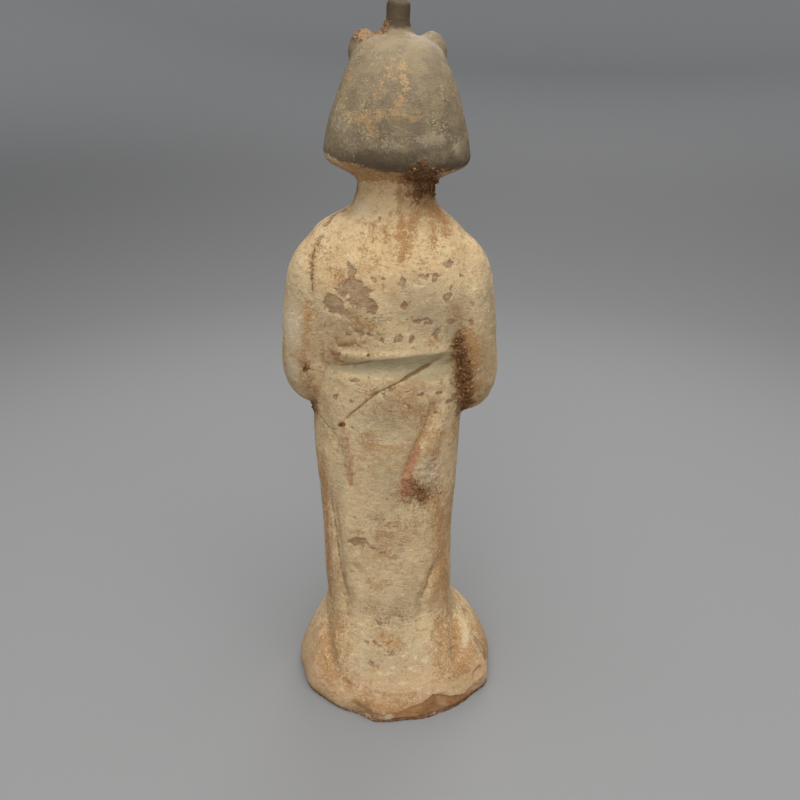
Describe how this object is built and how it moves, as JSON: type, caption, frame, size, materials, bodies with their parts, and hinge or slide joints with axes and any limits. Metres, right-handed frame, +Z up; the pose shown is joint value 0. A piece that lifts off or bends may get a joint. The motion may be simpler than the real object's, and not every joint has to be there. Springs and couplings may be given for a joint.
{
  "type": "tomb figure of a standing court lady",
  "caption": "Standing court lady in moulded clay, hands joined in long sleeves, bell-shaped hair with broken loops and a knot, flaring hem.",
  "frame": {"origin": "middle of the footprint, on the surface that the figure stands on", "axes": "+Z up along her height, -Y the way she faces, +X towards her left"},
  "size_m": [0.0992, 0.1024, 0.32],
  "materials": {
    "slipped_clay": "matt unglazed clay under worn cream slip, with soil and grey-brown hair"
  },
  "bodies": {
    "root": {"court_lady": "slipped_clay"}
  },
  "joints": []
}
